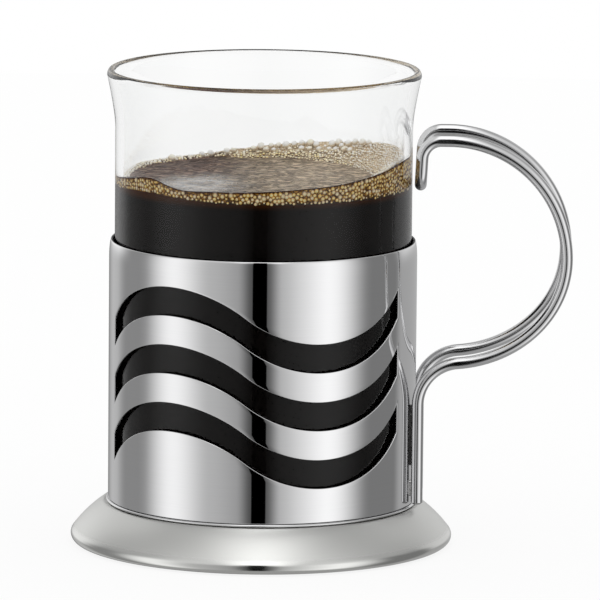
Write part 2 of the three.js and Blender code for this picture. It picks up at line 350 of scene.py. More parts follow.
def relief(tree, height, depth, strength=1.0):
    return add(tree, "ShaderNodeBump", {"Height": height, "Distance": depth, "Strength": strength}).outputs[0]


# %% [markdown]
# ## Steel, four ways
#
# The sleeve is sheet that was polished to a mirror before it was rolled, so it shows the faintest waviness
# and hair-fine lines round it. Only its outside was polished: the inside is a dull grey, and over its top two
# millimetres, where the sheet turns in, it darkens to nearly black, a painted shade for the dark gap between
# sleeve and glass. How far a point is from the axis tells the two sides apart. The wire was drawn and then
# tumbled: a mirror again, with a little haze. The base is pressed and glass-blasted to a warm satin, and its
# rolled edge was buffed, so it is shinier low down. The upper welds and the run between them are painted
# nearly black, a painted shade for the dark gap between leg and sleeve; the lowest welds keep the plain
# colour of bare weld.

# %% Finish of the sleeve
sheet = 0.6
hem_out = 0.5
inner_reach, inner_fade = 0.04, 0.09
edge_start, edge_full = 2.0, 1.2
inner_roughness = 0.42

outer_start = sleeve_high.x - hem_out - sheet + inner_reach
polished_steel, tree, shader = new_finish("polished_steel", Metallic=1.0)
lines = grain(tree, 60, (1, 1, 45), 3)
level_only = {0: place_on(tree), 1: (1, 1, 0)}
flattened = add(tree, "ShaderNodeVectorMath", level_only, operation="MULTIPLY").outputs[0]
from_axis = add(tree, "ShaderNodeVectorMath", {0: flattened}, operation="LENGTH").outputs["Value"]
outer_side = ramp(tree, from_axis, outer_start * MM, (outer_start + inner_fade) * MM)
# Painted shade: the inside darkens to nearly black just below the top edge, for the gap between sleeve and
# glass
painted_shade_top = ramp(tree, height_on(tree), (sleeve_high.z - edge_start) * MM, (sleeve_high.z - edge_full) * MM)
inner_tone = tones(tree, painted_shade_top, (0.34, 0.34, 0.343), (0.03, 0.03, 0.032))
outer_tone = tones(tree, lines, (0.645, 0.645, 0.65), (0.675, 0.675, 0.68))
wear(
    tree,
    shader,
    Base_Color=blend(tree, outer_side, inner_tone, outer_tone),
    Roughness=cross(tree, outer_side, inner_roughness, ramp(tree, lines, 0.3, 0.8, 0.015, 0.035)),
    Normal=relief(tree, grain(tree, 40), 0.00001, 0.25),
)
print(f"polished from {outer_start:.1f} mm outwards")

# %% Finishes of the wire, the base and the welds
buffed_below, satin_above = 3.2, 4.2
weld_shade_from, weld_shade_fade = 11.0, 0.5

wire_steel, tree, shader = new_finish("wire_steel", Metallic=1.0)
haze = grain(tree, 220, detail=3)
wear(
    tree,
    shader,
    Base_Color=tones(tree, haze, (0.58, 0.58, 0.585), (0.63, 0.63, 0.635)),
    Roughness=ramp(tree, haze, 0.3, 0.8, 0.10, 0.16),
)

satin_steel, tree, shader = new_finish("satin_steel", Metallic=1.0)
blasted = grain(tree, 1800, detail=2)
satin = ramp(tree, height_on(tree), buffed_below * MM, satin_above * MM, 0.10, 0.30)
wear(
    tree,
    shader,
    Base_Color=tones(tree, grain(tree, 30, detail=2), (0.60, 0.602, 0.585), (0.64, 0.642, 0.625)),
    Roughness=calc(tree, "MULTIPLY_ADD", blasted, 0.05, satin),
    Normal=relief(tree, blasted, 0.00001, 0.3),
)

weld_steel, tree, shader = new_finish("weld_steel", Metallic=1.0)
scale_marks = grain(tree, 900, detail=4)
# Painted shade: welds above this height, the run and the upper beads, are painted nearly black for the dark
# gap between leg and sleeve; the lower beads keep the bare weld colour
weld_shade_z = sleeve_low.z + weld_shade_from
painted_shade_share = ramp(tree, height_on(tree), (weld_shade_z - weld_shade_fade) * MM, (weld_shade_z + weld_shade_fade) * MM)
bare_weld_tone = tones(tree, scale_marks, (0.50, 0.498, 0.495), (0.60, 0.598, 0.595))
shaded_weld_tone = tones(tree, scale_marks, (0.05, 0.049, 0.048), (0.12, 0.118, 0.115))
wear(
    tree,
    shader,
    Base_Color=blend(tree, painted_shade_share, bare_weld_tone, shaded_weld_tone),
    Roughness=ramp(tree, scale_marks, 0.3, 0.7, 0.28, 0.48),
    Normal=relief(tree, scale_marks, 0.00008, 0.6),
)
print("steel: drawn wire, satin pressing, weld")

# %% [markdown]
# ## Glass, silicone and the moulded foot
#
# The glass is clear and hard, so its shader is nearly pure transmission. A real drinking glass is never
# quite even: a slow waviness bends what shows through it. The pad is milky silicone and the foot a black
# moulding, both with a fine matt skin.

# %% Clear and dull finishes
clear_glass, tree, shader = new_finish(
    "clear_glass", Transmission_Weight=1.0, IOR=1.48, Specular_Tint=(0.4, 0.4, 0.4, 1)
)
draw_marks = grain(tree, 35, (1, 1, 0.4), 1)
wear(
    tree,
    shader,
    Base_Color=tones(tree, draw_marks, (0.945, 0.95, 0.948), (0.985, 0.987, 0.986)),
    Roughness=ramp(tree, draw_marks, 0.4, 0.9, 0.0, 0.004),
    Normal=relief(tree, draw_marks, 0.00004, 0.2),
)

pad_silicone, tree, shader = new_finish("pad_silicone", Subsurface_Weight=0.3, Subsurface_Scale=0.002)
matt = grain(tree, 700, detail=3)
wear(
    tree,
    shader,
    Base_Color=tones(tree, matt, (0.76, 0.77, 0.75), (0.84, 0.85, 0.83)),
    Roughness=ramp(tree, matt, 0.2, 0.8, 0.55, 0.75),
    Normal=relief(tree, matt, 0.00005, 0.5),
)

foot_plastic, tree, shader = new_finish("foot_plastic")
spark = grain(tree, 1100, detail=3)
wear(
    tree,
    shader,
    Base_Color=tones(tree, spark, (0.022, 0.022, 0.024), (0.038, 0.038, 0.04)),
    Roughness=ramp(tree, spark, 0.2, 0.8, 0.45, 0.68),
    Normal=relief(tree, spark, 0.00004, 0.6),
)
print("clear glass, silicone and moulded plastic")

# %% [markdown]
# ## Turning a shape
#
# Most of this cup is round, and a round piece is an outline turned about the upright axis. Blender's Screw
# modifier can do that. Here a short function does it, because it can close the poles on the axis without
# doubled points. An outline runs up the outside and down the inside, so that all faces look outwards. `arc`
# and `bend` give its round stretches, and `grid_faces` joins up the pieces that are drawn as closed rows of
# points.

# %% Tools for turned pieces
round_sides = 192


def show(name, mesh):
    piece = bpy.data.objects.new(name, mesh)
    bpy.context.scene.collection.objects.link(piece)
    return piece


def smooth(piece, sharp_above=40):
    piece.data.shade_smooth()
    piece.data.set_sharp_from_angle(angle=math.radians(sharp_above))


def drawn(name, points, faces, finish):
    mesh = bpy.data.meshes.new(name)
    mesh.from_pydata([Vector(p) * MM for p in points], [], faces)
    mesh.materials.append(finish)
    return show(name, mesh)


def arc(x, z, radius, start, end, steps=10):
    angles = np.radians(np.linspace(start, end, steps + 1))
    return [(x + radius * math.cos(a), z + radius * math.sin(a)) for a in angles]


def bend(start, control, end, steps=14):
    ways = np.linspace(0, 1, steps + 1)[:, None]
    shares = ((1 - ways) ** 2, 2 * ways * (1 - ways), ways**2)
    points = sum(share * np.array(point) for share, point in zip(shares, (start, control, end)))
    return [tuple(p) for p in points]


def grid_faces(rows, columns):
    faces = []
    for low in range(0, (rows - 1) * columns, columns):
        high = low + columns
        for i in range(columns):
            j = (i + 1) % columns
            faces.append((low + i, low + j, high + j, high + i))
    return faces


def turned(name, outline, finish, sides=round_sides):
    points, rings = [], []
    for radius, z in outline:
        first = len(points)
        if radius < 1e-6:
            points.append((0, 0, z))
            rings.append([first] * sides)
            continue
        turns = np.linspace(0, 2 * math.pi, sides, endpoint=False)
        points += [(radius * math.cos(t), radius * math.sin(t), z) for t in turns]
        rings.append(list(range(first, first + sides)))
    pairs = list(zip(rings, rings[1:]))
    if outline[0][0] > 1e-6:
        pairs.append((rings[-1], rings[0]))
    faces = []
    for lower, upper in pairs:
        for i in range(sides):
            j = (i + 1) % sides
            faces.append(tuple(dict.fromkeys((lower[i], lower[j], upper[j], upper[i]))))
    piece = drawn(name, points, faces, finish)
    smooth(piece)
    return piece


def dress(piece, body, slot=None, *nodes):
    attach(piece, body)
    if nodes:
        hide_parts(*nodes)
    piece.data.calc_loop_triangles()
    print(f"{piece.name}: {len(piece.data.loop_triangles)} triangles on {body}")


# %% [markdown]
# ## The glass
#
# A thin-walled glass with a round heel, a slightly hollow underside and a rim that flares out to a
# fire-polished lip, which melted into a drop a little taller than it is wide. It is one turned outline with
# a real wall, because light has to enter and leave it twice. A glass drawn as a single skin would bend
# nothing.

# %% Turn the glass
glass_wall = 2.0
glass_floor = 4.0
rim_flare = 2.1
flare_height = 15.0
flare_lead = 4.0
lip_rise = 1.5
heel_radius = 5.0
stand_ring = 4.0
punt_depth = 1.0
punt_slope = 2.5

rim_z = glass_high.z
glass_foot = glass_low.z
glass_radius = glass_high.x - rim_flare
glass_inside = glass_radius - glass_wall
lip = glass_wall / 2
lip_r, lip_z = glass_high.x - lip, rim_z - lip_rise
flare_z = rim_z - flare_height
lead_z = flare_z + flare_lead
floor_z = glass_foot + glass_floor
inner_heel = heel_radius - glass_wall
punt_edge = glass_radius - heel_radius - stand_ring
outline = [
    (0, glass_foot + punt_depth),
    *bend(
        (punt_edge - punt_slope, glass_foot + punt_depth),
        (punt_edge - punt_slope / 2, glass_foot + punt_depth / 2),
        (punt_edge, glass_foot),
        4,
    ),
    *arc(glass_radius - heel_radius, glass_foot + heel_radius, heel_radius, -90, 0),
    *bend((glass_radius, flare_z), (glass_radius, lead_z), (glass_high.x, lip_z)),
    *[(lip_r + lip * x, lip_z + lip_rise * z) for x, z in arc(0, 0, 1, 0, 180, 24)[1:-1]],
    *bend((lip_r - lip, lip_z), (glass_inside, lead_z), (glass_inside, flare_z)),
    *arc(glass_inside - inner_heel, floor_z + inner_heel, inner_heel, 0, -90),
    (0, floor_z),
]
glass = turned("drinking_glass", outline, clear_glass)
dress(glass, "glass", "clear_glass", "glass_beaker")

# %% [markdown]
# ## Trees that make shapes
#
# Geometry Nodes make the things that follow a rule here: the punched waves of the sleeve, the bent wire and
# the bubbles. A tree is built once with named inputs, run as a modifier, and then baked: the evaluated
# result becomes a plain mesh and the modifier goes away with the helper object it sat on.

# %% Geometry Nodes helpers


def new_tree(name, **inputs):
    tree = bpy.data.node_groups.new(name, "GeometryNodeTree")
    tree.interface.new_socket("Geometry", in_out="INPUT", socket_type="NodeSocketGeometry")
    for label, kind in inputs.items():
        tree.interface.new_socket(label.replace("_", " "), in_out="INPUT", socket_type="NodeSocket" + kind)
    tree.interface.new_socket("Geometry", in_out="OUTPUT", socket_type="NodeSocketGeometry")
    return tree, add(tree, "NodeGroupInput").outputs


def close_tree(tree, shape, finish):
    single = add(tree, "GeometryNodeRealizeInstances", {"Geometry": shape}).outputs[0]
    painted = add(tree, "GeometryNodeSetMaterial", {"Geometry": single, "Material": finish}).outputs[0]
    add(tree, "NodeGroupOutput", {"Geometry": painted})


def named(tree, name, kind="FLOAT"):
    return add(tree, "GeometryNodeInputNamedAttribute", {"Name": name}, data_type=kind).outputs[0]


def bake(helper, name):
    graph = bpy.context.evaluated_depsgraph_get()
    mesh = bpy.data.meshes.new_from_object(
        helper.evaluated_get(graph), preserve_all_data_layers=True, depsgraph=graph
    )
    mesh.name = name
    bpy.data.objects.remove(helper)
    return show(name, mesh)


def grow(helper, tree, name, **values):
    modifier = helper.modifiers.new(tree.name, "NODES")
    modifier.node_group = tree
    for item in tree.interface.items_tree:
        label = item.name.replace(" ", "_")
        if item.in_out == "INPUT" and label in values:
            modifier[item.identifier] = values[label]
    return bake(helper, name)


# %% [markdown]
# ## The pierced sleeve
#
# The sleeve is sheet steel with two panels of three wave slots. The waves are arcs: each slot climbs over
# one crest and drops through one trough. A boolean cut would leave long thin faces that spoil a mirror, so
# the sheet is drawn as a grid whose rows run along the edges of the slots instead. The grid starts with
# level rows. A tree then lifts each row by the wave, by the share that the row follows it, and deletes the
# faces that were marked as slots.

# %% Measure out the sleeve
hem_height = 0.9
lip_turn = 0.45
lip_height = 4.5
lip_bend = 1.6
slot_rows = 3
bar_height = 7.4
slot_margin_top = 7.6
slot_margin_foot = 9.5
inner_sweep = math.radians(36.8)
outer_sweep = math.radians(48.7)
wire_gauge = 3.0
wire_spacing = 20.0
slot_to_wire = 7.5
seam_band = 24.4

seat_z = sleeve_low.z
sleeve_top = sleeve_high.z
sleeve_radius = sleeve_high.x - hem_out
handle_band = wire_spacing / 2 + wire_gauge / 2 + slot_to_wire
half_length = (math.pi * sleeve_radius - handle_band - seam_band / 2) / 2
panel_middle = handle_band + half_length
wave_rise = half_length / (math.sin(inner_sweep) + math.sin(outer_sweep)) * (1 - math.cos(inner_sweep))
first_edge = seat_z + slot_margin_foot + wave_rise
last_edge = sleeve_top - slot_margin_top - wave_rise
slot_height = (last_edge - first_edge - (slot_rows - 1) * bar_height) / slot_rows
print(f"slots {slot_height:.2f} mm high, waves rise {wave_rise:.2f} mm")

# %% Draw the blank of the sleeve
margin_steps = 9
bar_steps = 6
lip_steps = 6
handle_columns, slot_columns, seam_columns = 28, 150, 19

# Each row of the grid: radius, height, its share of the wave, and whether the faces above it are slots
rows = []
for way in np.linspace(0, 1, margin_steps, endpoint=False):
    foot_z = seat_z + hem_height
    rows.append((sleeve_radius, foot_z + way * (first_edge - foot_z), way, False))
for slot in range(slot_rows):
    low = first_edge + slot * (slot_height + bar_height)
    rows.append((sleeve_radius, low, 1.0, True))
    bars = np.linspace(0, 1, bar_steps, endpoint=False) if slot < slot_rows - 1 else [0.0]
    rows += [(sleeve_radius, low + slot_height + way * bar_height, 1.0, False) for way in bars]
lip_start = sleeve_top - lip_height
for way in np.linspace(0, 1, margin_steps, endpoint=False)[1:]:
    rows.append((sleeve_radius, last_edge + way * (lip_start - last_edge), 1.0 - way, False))
lip_curve = bend(
    (sleeve_radius, lip_start),
    (sleeve_radius, sleeve_top - lip_bend),
    (sleeve_radius - lip_turn, sleeve_top),
    lip_steps,
)
rows += [(radius, z, 0.0, False) for radius, z in lip_curve]

slot_start = handle_band / sleeve_radius
slot_end = slot_start + 2 * half_length / sleeve_radius
half_turn = np.concatenate([
    np.linspace(0, slot_start, handle_columns, endpoint=False),
    np.linspace(slot_start, slot_end, slot_columns, endpoint=False),
    np.linspace(slot_end, math.pi, seam_columns),
])
turn = np.concatenate([half_turn, -half_turn[-2:0:-1]])
columns = len(turn)


def in_panel(i):
    step = (turn[(i + 1) % columns] - turn[i] + math.pi) % (2 * math.pi) - math.pi
    return slot_start < abs(turn[i] + step / 2) < slot_end


points = [(r * math.cos(t), r * math.sin(t), z) for r, z, _, _ in rows for t in turn]
faces = grid_faces(len(rows), columns)
is_slot = [slot_above and in_panel(i) for _, _, _, slot_above in rows[:-1] for i in range(columns)]
blank = drawn("sleeve_blank", points, faces, polished_steel)
blank.data.attributes.new("slot", "BOOLEAN", "FACE").data.foreach_set("value", is_slot)
along = [abs(t) * sleeve_radius * MM for _ in rows for t in turn]
blank.data.attributes.new("along", "FLOAT", "POINT").data.foreach_set("value", along)
shares = [share for _, _, share, _ in rows for _ in turn]
blank.data.attributes.new("wave_share", "FLOAT", "POINT").data.foreach_set("value", shares)
print(f"blank of {columns} columns by {len(rows)} rows")

# %% Press the waves and punch the slots
tree, given = new_tree(
    "wave_slots",
    Panel_Middle="Float",
    Half_Length="Float",
    Inner_Sweep="Float",
    Outer_Sweep="Float",
    Finish="Material",
)
from_middle = calc(tree, "SUBTRACT", given["Panel Middle"], named(tree, "along"))
less = calc(tree, "MULTIPLY", given["Half Length"], -1.0)
place = calc(tree, "MAXIMUM", calc(tree, "MINIMUM", from_middle, given["Half Length"]), less)
sines = calc(tree, "ADD", calc(tree, "SINE", given["Inner Sweep"]), calc(tree, "SINE", given["Outer Sweep"]))
radius = calc(tree, "DIVIDE", given["Half Length"], sines)
crest = calc(tree, "MULTIPLY", radius, calc(tree, "SINE", given["Inner Sweep"]))
from_crest = calc(tree, "SUBTRACT", calc(tree, "ABSOLUTE", place), crest)
leg = calc(tree, "SUBTRACT", calc(tree, "POWER", radius, 2.0), calc(tree, "POWER", from_crest, 2.0))
inner_leg = calc(tree, "MULTIPLY", radius, calc(tree, "COSINE", given["Inner Sweep"]))
below_crest = calc(tree, "SUBTRACT", inner_leg, calc(tree, "SQRT", leg))
wave = calc(tree, "MULTIPLY", below_crest, calc(tree, "SIGN", place))
lift = calc(tree, "MULTIPLY", wave, named(tree, "wave_share"))
offset = add(tree, "ShaderNodeCombineXYZ", {"Z": lift}).outputs[0]
pressed = add(tree, "GeometryNodeSetPosition", {"Geometry": given["Geometry"], "Offset": offset}).outputs[0]
punched = add(
    tree,
    "GeometryNodeDeleteGeometry",
    {"Geometry": pressed, "Selection": named(tree, "slot", "BOOLEAN")},
    domain="FACE",
).outputs[0]
close_tree(tree, punched, given["Finish"])
skin = grow(
    blank,
    tree,
    "sleeve_skin",
    Panel_Middle=panel_middle * MM,
    Half_Length=half_length * MM,
    Inner_Sweep=inner_sweep,
    Outer_Sweep=outer_sweep,
    Finish=polished_steel,
)
print(len(skin.data.polygons), "faces left after punching")

# %% [markdown]
# The skin has no thickness yet. Solidify gives the sheet its wall towards the inside, and a fine bevel
# rounds the punched edges, which is what catches the light as a thin bright line under every slot. Weighted
# normals keep the broad faces true beside the bevels, so that reflections run straight up to the edge. The
# foot of the sheet is rolled into a hem, a small ring of its own.

# %% Thicken the sleeve and roll the hem
edge_round = 0.16
edge_steps = 2
edge_angle = math.radians(50)
hem_gap = 0.12

thicken = skin.modifiers.new("sheet", "SOLIDIFY")
thicken.thickness = sheet * MM
thicken.offset = -1.0
thicken.use_even_offset = True
rounding = skin.modifiers.new("edge", "BEVEL")
rounding.width = edge_round * MM
rounding.segments = edge_steps
rounding.limit_method = "ANGLE"
rounding.angle_limit = edge_angle
sleeve = bake(skin, "sleeve_rough")
smooth(sleeve, 60)
weighted = sleeve.modifiers.new("true_faces", "WEIGHTED_NORMAL")
weighted.keep_sharp = True
sleeve = bake(sleeve, "wave_sleeve")
dress(sleeve, "holder", "polished_steel", "pierced_sleeve")

hem_foot = seat_z + hem_gap
hem_top = seat_z + hem_height - hem_gap
hem_middle = (hem_foot + hem_top) / 2
hem_half = (hem_top - hem_foot) / 2
hem_curve = [(sleeve_radius + hem_out * x, hem_middle + hem_half * z) for x, z in arc(0, 0, 1, -90, 90, 12)]
hem_back = sleeve_radius - sheet
hem = turned("sleeve_hem", [(hem_back, hem_foot), *hem_curve, (hem_back, hem_top)], polished_steel)
dress(hem, "holder", "polished_steel")

# %% [markdown]
# ## The base
#
# A pressed dish carries everything: a flat seat with a low ring that centres the sleeve, a skirt that
# swings out in one soft curve, and an edge that is rolled under so that nothing sharp is left. It is turned
# from one outline.

# %% Turn the base
base_sheet = 0.8
seat_ledge = 0.6
flare_bulge = 1.0
roll_radius = 1.8
roll_start, roll_end = 34, -170
spigot_height = 2.4
spigot_wall = 0.6
spigot_clearance = 0.15
seat_round = 0.5

hem_radius = sleeve_high.x
roll_x = base_high.x - roll_radius
roll_z = base_low.z + roll_radius
roll = arc(roll_x, roll_z, roll_radius, roll_start, roll_end, 30)
skirt_top = np.array((hem_radius + seat_ledge, seat_z))
skirt_foot = np.array(roll[0])
fall = skirt_foot - skirt_top
outward = np.array((-fall[1], fall[0])) / np.linalg.norm(fall)
control = (skirt_top + skirt_foot) / 2 + outward * flare_bulge
skirt = bend(skirt_top, control, skirt_foot, 28)
underside = [tuple(np.array(p) - outward * base_sheet) for p in skirt]
spigot_out = sleeve_radius - sheet - spigot_clearance
spigot_in = spigot_out - spigot_wall
outline = [
    (0, seat_z - base_sheet),
    (underside[0][0], seat_z - base_sheet),
    *underside[1:],
    *roll[:0:-1],
    *skirt[:0:-1],
    *bend(skirt[1], tuple(skirt_top), (skirt_top[0] - seat_round, seat_z), 4)[1:],
    (spigot_out, seat_z),
    (spigot_out, seat_z + spigot_height),
    (spigot_in, seat_z + spigot_height),
    (spigot_in, seat_z),
    (0, seat_z),
]
base = turned("base_dish_satin", outline, satin_steel)
dress(base, "holder", "satin_steel", "base_dish")

# %% [markdown]
# ## The wire handle
#
# One wire makes the whole handle. It starts at a cut end by the foot, climbs the sleeve, bends out into the
# loop, comes back over the crown, drops into the hook beside the glass, crosses over and returns the same
# way. In Blender a path like that is a curve, and Curve to Mesh sweeps a circle along it. The route is
# worked out in the upright plane of one side and mirrored. The cut ends are chamfered by thinning the curve
# there.

# %% Work out the route of the wire
weld_film = 0.2
fusion_gap = 0.05
leg_gap = 0.3
loop_above_foot = 36.0
loop_dip = 1.5
crown_bend = 4.8
crown_run = 2.1
lower_join = math.radians(5)
hook_above_sleeve = 13.7
hook_straight = 3.1
hook_gap = 0.6
hook_lean = math.radians(3)
hook_bend = 4.0
end_chamfer = 0.4
end_share = 0.72

wire_half = wire_gauge / 2
half_spacing = wire_spacing / 2
leg_radius = sleeve_radius + 2 * fusion_gap + weld_film + wire_half
leg_x = math.sqrt(leg_radius**2 - half_spacing**2)
leg_foot = seat_z + hem_height + leg_gap
hook_up = np.array((math.sin(hook_lean), math.cos(hook_lean)))
hook_out = np.array((math.cos(hook_lean), -math.sin(hook_lean)))
hook_foot = np.array((glass_radius + hook_gap + wire_half, sleeve_top + hook_above_sleeve + wire_half))
hook_corner = hook_foot + hook_up * hook_bend
hook_top = hook_corner + hook_up * hook_straight
crown = hook_top + hook_out * crown_bend
crown_z = crown[1] + crown_bend

loop_low = leg_foot + loop_above_foot
loop_x = crown[0] + crown_run
loop_z = (loop_low + crown_z) / 2 - loop_dip
reach = wire_high.x - wire_half - loop_x
upper = crown_z - loop_z
lower = loop_z - loop_low
join_slope = math.atan(lower / reach * math.tan(lower_join))
join = np.array((loop_x + reach * math.sin(lower_join), loop_z - lower * math.cos(lower_join)))
foot_bend = (join[0] - leg_x) / (1 - math.sin(join_slope))
foot_bend_z = join[1] - foot_bend * math.cos(join_slope)


def oval(across, upright, start, end, steps):
    return [(loop_x + across * c, loop_z + upright * s) for c, s in arc(0, 0, 1, start, end, steps)]


leg = [(leg_x, leg_foot), (leg_x, leg_foot + end_chamfer), (leg_x, leg_foot + 2 * end_chamfer)]
leg += [(leg_x, z) for z in np.linspace(leg_foot, foot_bend_z, 12)[1:-1]]
side = [
    *leg,
    *arc(leg_x + foot_bend, foot_bend_z, foot_bend, 180, 90 + math.degrees(join_slope), 22),
    *oval(reach, lower, math.degrees(lower_join) - 90, 0, 40)[1:],
    *oval(reach, upper, 0, 90, 44)[1:],
    *arc(crown[0], crown[1], crown_bend, 90, 180 - math.degrees(hook_lean), 18),
    tuple(hook_corner),
]
turn_in = [
    (*(hook_corner - hook_up * s), hook_bend - half_spacing - c)
    for c, s in arc(0, 0, hook_bend, 0, 90, 14)[1:]
]
front = [(x, -half_spacing, z) for x, z in side] + [(x, y, z) for x, z, y in turn_in]
route = front + [(x, -y, z) for x, y, z in reversed(front)]
print(f"{len(route)} points, lower bend {foot_bend:.1f} mm, loop {2 * reach:.0f} by {upper + lower:.0f} mm")

# %% Sweep the wire
wire_sides = 36
path = bpy.data.curves.new("wire_path", "CURVE")
path.dimensions = "3D"
spline = path.splines.new("POLY")
spline.points.add(len(route) - 1)
spline.points.foreach_set("co", [v for p in route for v in (*(Vector(p) * MM), 1.0)])
spline.points[0].radius = end_share
spline.points[-1].radius = end_share
tree, given = new_tree("bent_wire", Gauge="Float", Sides="Int", Finish="Material")
half_gauge = calc(tree, "MULTIPLY", given["Gauge"], 0.5)
section = add(tree, "GeometryNodeCurvePrimitiveCircle", {"Resolution": given["Sides"], "Radius": half_gauge})
thinned = add(tree, "GeometryNodeInputRadius").outputs[0]
swept = add(
    tree,
    "GeometryNodeCurveToMesh",
    {"Curve": given["Geometry"], "Profile Curve": section.outputs[0], "Scale": thinned, "Fill Caps": True},
).outputs[0]
close_tree(tree, swept, given["Finish"])
handle = grow(
    show("wire_path", path),
    tree,
    "handle_bent_wire",
    Gauge=wire_gauge * MM,
    Sides=wire_sides,
    Finish=wire_steel,
)
smooth(handle)
dress(handle, "holder", "wire_steel", "handle_wire")

# %% [markdown]
# ## The welds
#
# Two short welds hold each leg on the sleeve, and a thinner run of weld fills the gap from above the lower
# one up to the bend. The run and the upper welds are painted nearly black, a painted shade for that gap. A
# weld is a small saddle of metal between two round surfaces, with the ripples of the bead along it. Each is
# a loft: the same saddle section again and again, drawn in a little between the ripples and more at both
# ends.

# %% Lay the weld beads
weld_length = 4.0
weld_inset = 2.0
weld_reach = 1.5
weld_climb = 50.0
ripples = 5
ripple_share = 0.07
end_draw = 0.45
bead_share = 0.62
run_share = 0.45
run_low = seat_z + weld_shade_from
weld_stations = 36
saddle_steps = 8


def saddle(share):
    sleeve_face = sleeve_radius + fusion_gap
    spread = math.degrees(math.asin(weld_reach / sleeve_face)) * share
    climb = weld_climb * share
    on_sleeve = arc(0, 0, sleeve_face, -spread, spread, saddle_steps)
    return on_sleeve + arc(leg_radius, 0, wire_half + fusion_gap, 180 - climb, 180 + climb, saddle_steps)


def weld_bead(name, side, middle_z, length, thickness, *nodes):
    turn = side * math.asin(half_spacing / leg_radius)
    points = []
    for way in np.linspace(-1, 1, weld_stations):
        drawn_in = end_draw + (1 - end_draw) * (1 - way**4)
        share = drawn_in * (1 - ripple_share * (1 - math.cos(ripples * math.pi * way)) / 2)
        for x, y in saddle(thickness * share):
            across = (x * math.cos(turn) - y * math.sin(turn), x * math.sin(turn) + y * math.cos(turn))
            points.append((*across, middle_z + way * length / 2))
    count = 2 * (saddle_steps + 1)
    faces = grid_faces(weld_stations, count)
    faces += [tuple(reversed(range(count))), tuple(range(len(points) - count, len(points)))]
    bead = drawn(name, points, faces, weld_steel)
    smooth(bead, 50)
    dress(bead, "holder", "weld_steel", *nodes)


weld_low = leg_foot + weld_inset + weld_length / 2
weld_high = foot_bend_z - weld_inset - weld_length / 2
for label, side in (("front", -1), ("rear", 1)):
    for end, middle_z in (("lower", weld_low), ("upper", weld_high)):
        node = f"weld_{label}_{end}"
        weld_bead(f"{node}_bead", side, middle_z, weld_length, bead_share, node)
    weld_bead(f"weld_{label}_run", side, (run_low + foot_bend_z) / 2, foot_bend_z - run_low, run_share)

# %% [markdown]
# ## Pad and foot
#
# Two pieces that hardly ever show: the soft pad the glass stands on, and the moulded foot in the hollow of
# the base. The pad has round edges and four shallow grooves that catch drips. The foot has the same chamfer
# and ring as its solid, and grooves on its underside against slipping.

# %% Turn the pad and the foot
pad_round = 0.4
groove_depth = 0.25
groove_half = 0.6
pad_grooves = (10.0, 17.0, 24.0, 31.0)
foot_thickness = 2.2
foot_chamfer = 0.8
foot_ring_radius = 25.0
foot_ring_wall = 2.0
foot_grooves = (41.0, 38.5, 36.0)


def groove(radius, z, depth):
    first, last = radius - groove_half, radius + groove_half
    return bend((first, z), (radius, z - 2 * depth), (last, z), 8)


pad_r, pad_z = pad_high.x, pad_high.z
pad_top = [p for radius in pad_grooves for p in groove(radius, pad_z, groove_depth)]
outline = [
    (0, pad_low.z),
    *arc(pad_r - pad_round, pad_low.z + pad_round, pad_round, -90, 0, 6),
    *arc(pad_r - pad_round, pad_z - pad_round, pad_round, 0, 90, 6),
    *reversed(pad_top),
    (0, pad_z),
]
pad = turned("silicone_pad", outline, pad_silicone)
dress(pad, "holder", "pad_silicone", "seat_pad")

foot_r = foot_high.x
ring_z = foot_high.z
foot_under = [p for radius in reversed(foot_grooves) for p in groove(radius, foot_low.z, -groove_depth)]
outline = [
    (0, foot_low.z),
    *foot_under,
    (foot_r - foot_chamfer, foot_low.z),
    (foot_r, foot_low.z + foot_chamfer),
    (foot_r, foot_thickness),
    (foot_ring_radius, foot_thickness),
    (foot_ring_radius, ring_z),
    (foot_ring_radius - foot_ring_wall, ring_z),
    (foot_ring_radius - foot_ring_wall, foot_thickness),
    (0, foot_thickness),
]
foot = turned("moulded_foot", outline, foot_plastic)
dress(foot, "holder", "foot_plastic", "foot_insert")

# %% [markdown]
# ## The coffee
#
# The cup was photographed full. Coffee this strong lets no light through, so it is drawn as a dark solid
# that reaches a hair into the glass wall: then there is no film of air between the two, which would shine
# like silver. Its dark part ends nearly level. Above that a collar of froth is pressed against the glass,
# low on the left and high towards the handle, and inside the collar lies a wrinkled skin with a patch of
# open coffee.
#
# Froth that lies against glass shows flat cells with dark outlines. A Voronoi texture draws just that: one
# of its outputs is the distance to the next cell, another the distance to the cell's own middle, which is
# given a painted highlight of a pale colour. The froth at the wall is golden brown, that on the bank at the
# back is pale.

# %% Finishes of the coffee and of flat froth
froth_foot = sleeve_top + 13.9
froth_fade = 1.3
brown_start, brown_full = -1.6, 0.4
outline_end, outline_gone = 0.02, 0.2
highlight_start, highlight_full = 0.36, 0.1
cell_swell, cell_depth = 0.3, 0.0003

coffee_dark, tree, shader = new_finish("coffee_dark", Roughness=0.5, Specular_IOR_Level=0.0)
strong = tones(tree, grain(tree, 60, detail=2), (0.0065, 0.0055, 0.0052), (0.0082, 0.0068, 0.0062))
under_froth = ramp(tree, height_on(tree), (froth_foot + brown_start) * MM, (froth_foot + brown_full) * MM)
wear(tree, shader, Base_Color=blend(tree, under_froth, strong, (0.05, 0.016, 0.004, 1)))


